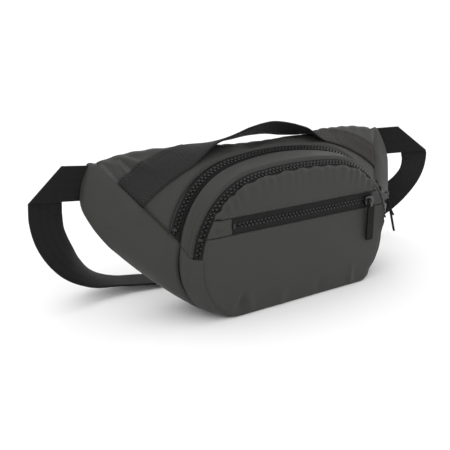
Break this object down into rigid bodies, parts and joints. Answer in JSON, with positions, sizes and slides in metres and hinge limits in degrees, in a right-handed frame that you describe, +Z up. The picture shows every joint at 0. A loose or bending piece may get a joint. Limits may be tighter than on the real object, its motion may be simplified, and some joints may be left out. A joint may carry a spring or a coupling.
{
  "type": "waist bag",
  "caption": "Waist bag with swept-back wings, arched zips over a front pocket and a main pocket, a straight zip in the front panel, a webbing grab handle and a buckled webbing belt.",
  "frame": {"origin": "centre of the whole object in plan, at floor level", "axes": "+X towards the end of the bag that holds the zip sliders when closed, -Y out of the front panel, +Z up"},
  "size_m": [0.497, 0.1432, 0.1709],
  "materials": {
    "shell_fabric": "matte",
    "zip_tape": "matte",
    "zip_teeth": "gloss",
    "slider_metal": "satin",
    "pull_tab": "matte",
    "webbing": "matte",
    "buckle_plastic": "satin",
    "elastic": "matte",
    "binding": "matte",
    "lining_fabric": "matte",
    "foam": "matte",
    "mesh": "matte"
  },
  "bodies": {
    "bag": {"back_foam": "foam", "back_lining": "lining_fabric", "back_mesh": "mesh", "belt_left_drop": "webbing", "belt_left_floor": "webbing", "belt_left_fold": "webbing", "belt_left_run": "webbing", "belt_left_tail": "webbing", "belt_right_drop": "webbing", "belt_right_floor": "webbing", "belt_right_fold": "webbing", "belt_right_run": "webbing", "belt_right_tail": "webbing", "bottom_panel": "shell_fabric", "buckle_female": "buckle_plastic", "buckle_male": "buckle_plastic", "front_panel_lower": "shell_fabric", "front_panel_upper": "shell_fabric", "front_zip_stops": "slider_metal", "front_zip_tape_inner": "zip_tape", "front_zip_tape_outer": "zip_tape", "front_zip_teeth": "zip_teeth", "gusset_side_left": "shell_fabric", "gusset_side_right": "shell_fabric", "gusset_top": "shell_fabric", "handle_strip_left": "webbing", "handle_strip_right": "webbing", "lining": "lining_fabric", "main_zip_stops": "slider_metal", "main_zip_tape_front": "zip_tape", "main_zip_tape_rear": "zip_tape", "main_zip_teeth": "zip_teeth", "pocket_divider": "lining_fabric", "seam_binding_left": "binding", "seam_binding_right": "binding", "straight_zip_stops": "slider_metal", "straight_zip_tape_lower": "zip_tape", "straight_zip_tape_upper": "zip_tape", "straight_zip_teeth": "zip_teeth", "top_panel": "shell_fabric", "window_patch_left": "shell_fabric", "window_patch_right": "shell_fabric", "wing_panel_left": "shell_fabric", "wing_panel_right": "shell_fabric"},
    "front_zip_slider": {"front_zip_slider": "slider_metal"},
    "front_zip_puller": {"front_zip_link": "slider_metal", "front_zip_tab": "pull_tab"},
    "main_zip_slider": {"main_zip_slider": "slider_metal"},
    "main_zip_puller": {"main_zip_link": "slider_metal", "main_zip_tab": "pull_tab"},
    "straight_zip_slider": {"straight_zip_slider": "slider_metal"},
    "straight_zip_puller": {"straight_zip_link": "slider_metal", "straight_zip_tab": "pull_tab"},
    "handle": {"handle_webbing": "webbing"},
    "keeper": {"tail_keeper": "elastic"},
    "prong_front": {"buckle_prong_front": "buckle_plastic"},
    "prong_rear": {"buckle_prong_rear": "buckle_plastic"}
  },
  "joints": [
    {"name": "front_zip_run", "type": "hinge", "parent": "bag", "child": "front_zip_slider", "pos_m": [0.041, -0.0609, 0.05194], "axis": [0, -0.9988, 0.0499], "range_deg": [-1, 54]},
    {"name": "main_zip_run", "type": "hinge", "parent": "bag", "child": "main_zip_slider", "pos_m": [0.0432, -0.04402, 0.05093], "axis": [0, -0.9701, 0.2425], "range_deg": [-1, 49]},
    {"name": "straight_zip_run", "type": "slide", "parent": "bag", "child": "straight_zip_slider", "axis": [-1, 0, 0], "range_m": [0, 0.154]},
    {"name": "front_zip_pull", "type": "hinge", "parent": "front_zip_slider", "child": "front_zip_puller", "pos_m": [0.11669, -0.06321, 0.09066], "axis": [-0.6465, -0.7629, 0], "range_deg": [0, 100]},
    {"name": "main_zip_pull", "type": "hinge", "parent": "main_zip_slider", "child": "main_zip_puller", "pos_m": [0.12866, -0.03699, 0.09601], "axis": [-0.5674, -0.8235, 0], "range_deg": [0, 100]},
    {"name": "straight_zip_pull", "type": "hinge", "parent": "straight_zip_slider", "child": "straight_zip_puller", "pos_m": [0.086, -0.07019, 0.08835], "axis": [-1, 0, 0], "range_deg": [0, 120]},
    {"name": "handle_rock", "type": "hinge", "parent": "bag", "child": "handle", "pos_m": [0, 0.002, 0.152], "axis": [1, 0, 0], "range_deg": [0, 18], "stiffness_Nm_per_rad": 0.5},
    {"name": "keeper_slide", "type": "slide", "parent": "bag", "child": "keeper", "axis": [1, 0, 0], "range_m": [-0.006, 0.02]},
    {"name": "prong_front_squeeze", "type": "hinge", "parent": "bag", "child": "prong_front", "pos_m": [-0.002, 0.0352, 0.0055], "axis": [0, 0, -1], "range_deg": [0, 11], "stiffness_Nm_per_rad": 0.3},
    {"name": "prong_rear_squeeze", "type": "hinge", "parent": "bag", "child": "prong_rear", "pos_m": [-0.002, 0.0608, 0.0055], "axis": [0, 0, 1], "range_deg": [0, 11], "stiffness_Nm_per_rad": 0.3}
  ],
  "couplings": [
    {"joint": "prong_rear_squeeze", "follows": "prong_front_squeeze", "ratio": 1}
  ]
}
